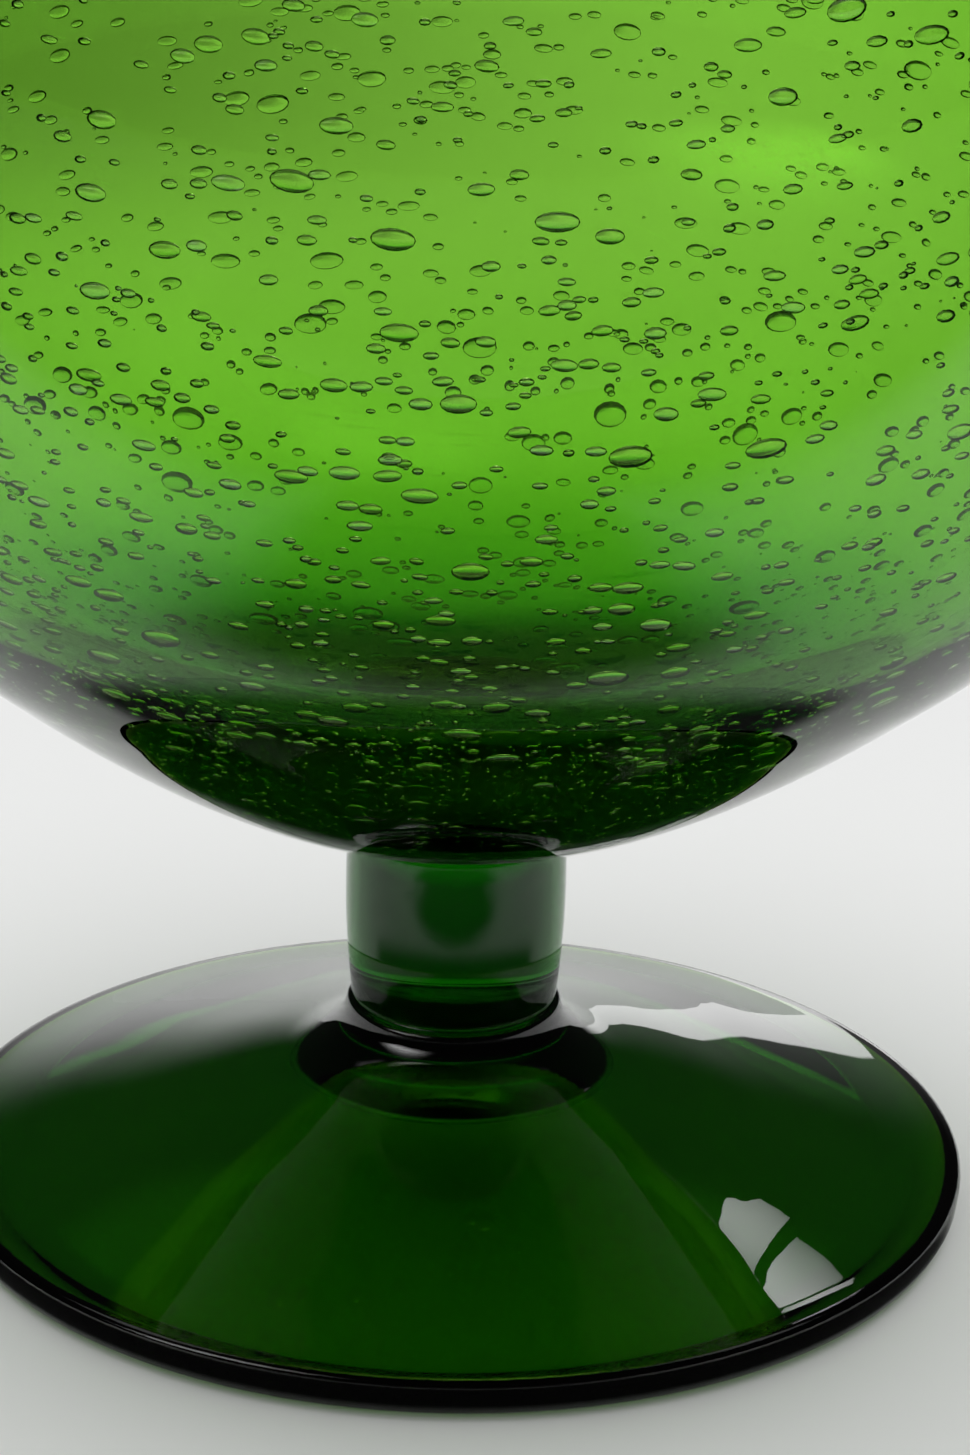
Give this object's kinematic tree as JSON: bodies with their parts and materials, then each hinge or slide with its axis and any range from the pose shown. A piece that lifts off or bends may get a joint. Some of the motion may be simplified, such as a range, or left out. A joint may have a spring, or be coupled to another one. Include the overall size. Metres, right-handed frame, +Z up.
{
  "type": "bubble wine glass",
  "caption": "Balloon wine glass in thick green bubble glass: round blown bowl on a short barrel stem, a flared collar and a conical foot.",
  "frame": {"origin": "centre of the flat ring that the foot rests on", "axes": "+Z up along the turning axis, from the foot to the rim; X and Y are equal, because the glass is round"},
  "size_m": [0.106, 0.106, 0.1381],
  "materials": {
    "bubble_glass": "fire-polished green glass, full of trapped air bubbles drawn wider than they are tall",
    "clear_green_glass": "fire-polished solid green glass with a few small seeds, dark where it is thick"
  },
  "bodies": {
    "root": {"foot": "clear_green_glass", "collar": "clear_green_glass", "stem": "clear_green_glass", "bowl": "bubble_glass"}
  },
  "joints": []
}
